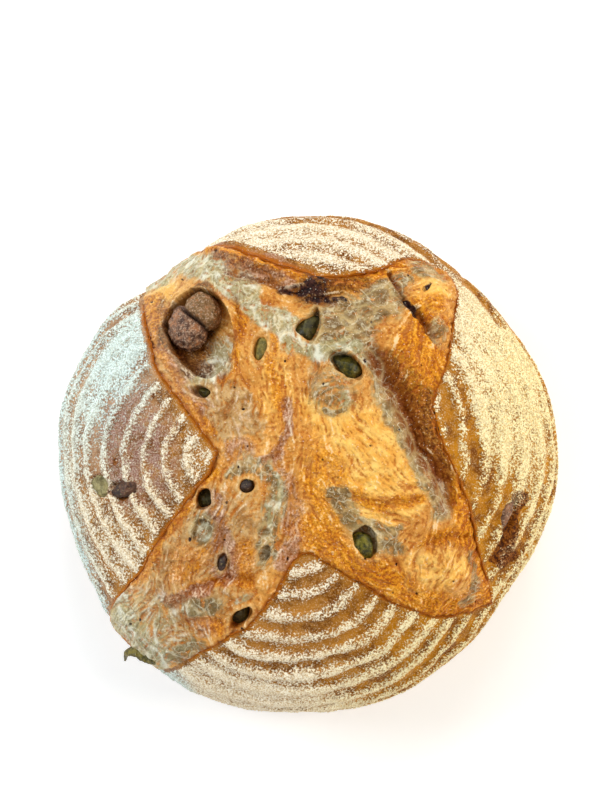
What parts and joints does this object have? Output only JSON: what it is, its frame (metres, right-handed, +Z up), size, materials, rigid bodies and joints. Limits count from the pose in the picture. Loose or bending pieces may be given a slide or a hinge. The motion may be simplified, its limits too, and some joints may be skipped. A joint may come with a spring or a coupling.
{
  "type": "round sourdough loaf with olives",
  "caption": "Round crusty sourdough loaf with floured basket rings, a burst cross-shaped score and olive pieces set in the crumb and crust.",
  "frame": {"origin": "middle of the flat foot's box, on the surface that the loaf rests on", "axes": "+Z up, the loaf's shortest way; +X to the right and +Y to the far side as the loaf is seen from above in the picture"},
  "size_m": [0.2378, 0.2348, 0.1007],
  "materials": {
    "crust": "baked crust dusted with flour, with a glossy golden crumb skin in the score",
    "olive_brown": "wrinkled and matt with a faint oily sheen",
    "olive_dark": "wet dark green skin",
    "olive_black": "baked dark skin",
    "olive_green": "wet green flesh",
    "olive_pale": "moist yellow green flesh"
  },
  "bodies": {
    "root": {"loaf": "crust", "brown_olive": "olive_brown", "olive_sliver": "olive_pale", "olive_lower_slot": "olive_dark", "olive_left_slot": "olive_dark", "olive_black": "olive_black", "olive_lobe": "olive_green", "olive_pale": "olive_pale", "olive_crown": "olive_dark", "olive_arch": "olive_green", "olive_edge": "olive_dark", "olive_crease": "olive_black", "olive_right_flap": "olive_brown", "olive_flap_green": "olive_pale", "olive_flap_purple": "olive_black"}
  },
  "joints": []
}
